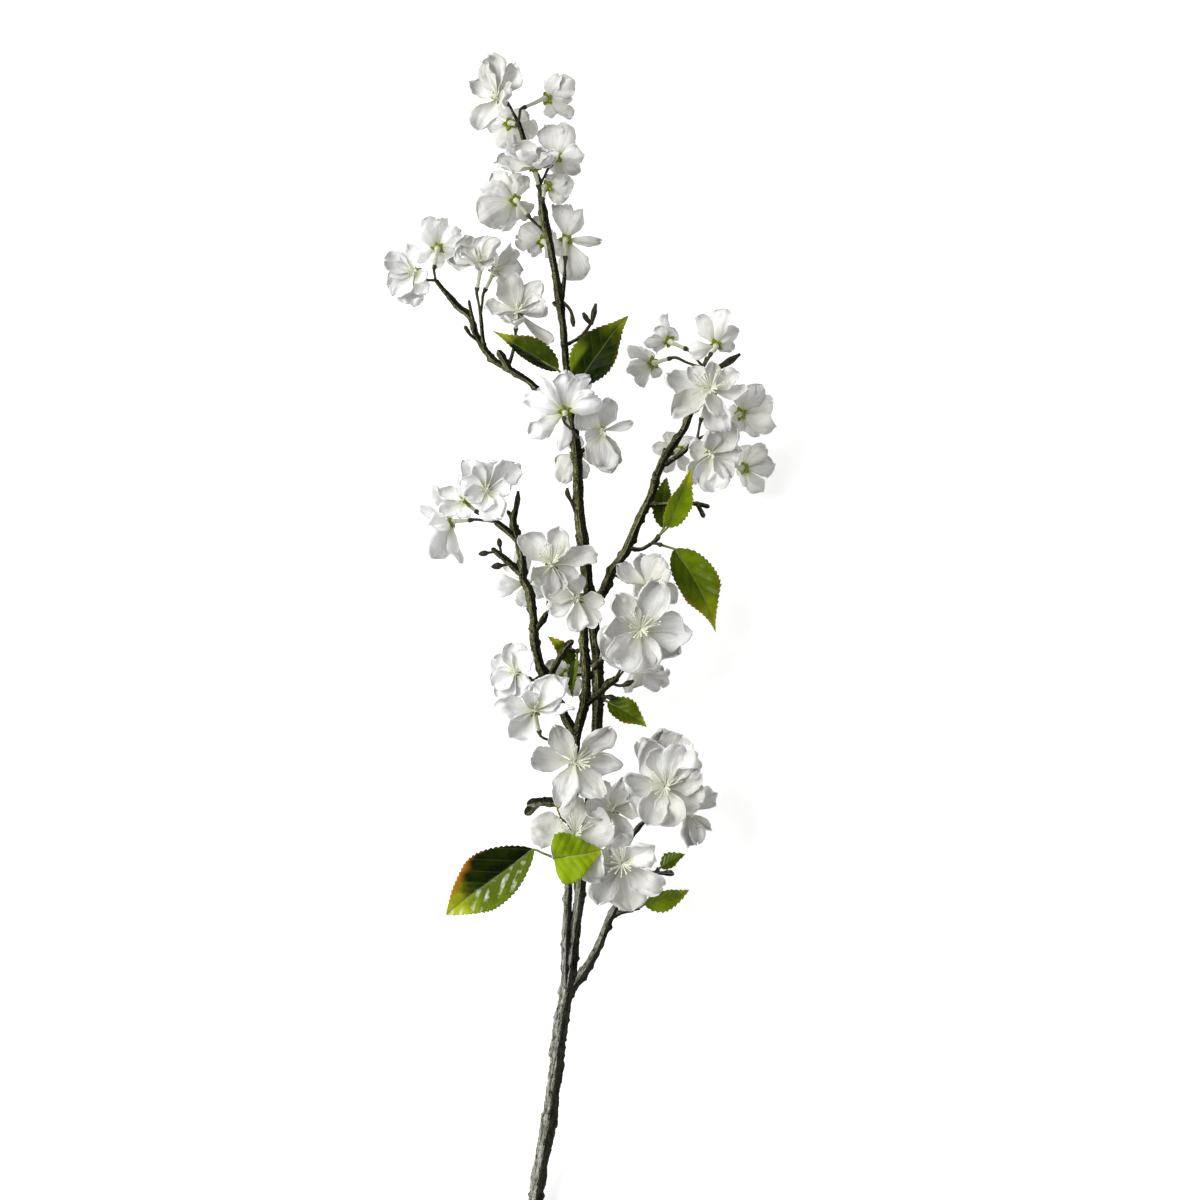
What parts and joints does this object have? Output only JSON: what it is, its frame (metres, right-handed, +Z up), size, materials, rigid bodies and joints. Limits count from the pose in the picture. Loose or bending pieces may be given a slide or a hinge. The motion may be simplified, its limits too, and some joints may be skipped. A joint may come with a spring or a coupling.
{
  "type": "apple blossom stem",
  "caption": "Cut flowering apple stem, lying down: a crooked woody branch with side twigs and spurs, open white blooms, buds and serrated leaves.",
  "frame": {"origin": "on the surface that the stem lies on, under the middle of its box", "axes": "+Y along the branch from its cut end to its tip, +Z up from the surface"},
  "size_m": [0.236, 0.7202, 0.0779],
  "materials": {
    "bark": "matte ridged bark, olive-brown with grey",
    "petals": "matte white, pale green in the throat",
    "leaves": "satin green with orange-brown edges"
  },
  "bodies": {
    "root": {"branch": "bark", "bloom_top_1": "petals", "bloom_top_2": "petals", "bloom_top_3": "petals", "bloom_top_4": "petals", "bloom_top_5": "petals", "bloom_top_6": "petals", "bloom_top_7": "petals", "bloom_top_8": "petals", "bloom_top_9": "petals", "bloom_left_1": "petals", "bloom_left_2": "petals", "bloom_left_3": "petals", "bloom_left_4": "petals", "bloom_left_5": "petals", "bloom_centre_1": "petals", "bloom_centre_2": "petals", "bloom_centre_3": "petals", "bloom_right_1": "petals", "bloom_right_2": "petals", "bloom_right_3": "petals", "bloom_right_4": "petals", "bloom_right_5": "petals", "bloom_right_6": "petals", "bloom_right_7": "petals", "bloom_right_8": "petals", "bloom_mid_left_1": "petals", "bloom_mid_left_2": "petals", "bloom_mid_left_3": "petals", "bloom_mid_left_4": "petals", "bloom_mid_left_5": "petals", "bloom_mid_left_6": "petals", "bloom_mid_right_1": "petals", "bloom_mid_right_2": "petals", "bloom_mid_right_3": "petals", "bloom_low_left_1": "petals", "bloom_low_left_2": "petals", "bloom_low_left_3": "petals", "bloom_low_1": "petals", "bloom_low_2": "petals", "bloom_low_3": "petals", "bloom_low_4": "petals", "bloom_low_5": "petals", "bloom_low_6": "petals", "bloom_low_7": "petals", "leaf_high_left": "leaves", "leaf_high_right": "leaves", "leaf_spur_front": "leaves", "leaf_spur_back": "leaves", "leaf_mid_right": "leaves", "leaf_cross": "leaves", "leaf_fork": "leaves", "leaf_strand": "leaves", "leaf_low_front": "leaves", "leaf_low_bud": "leaves", "leaf_low_left": "leaves", "leaf_low_right": "leaves", "leaf_low_right_back": "leaves"}
  },
  "joints": []
}
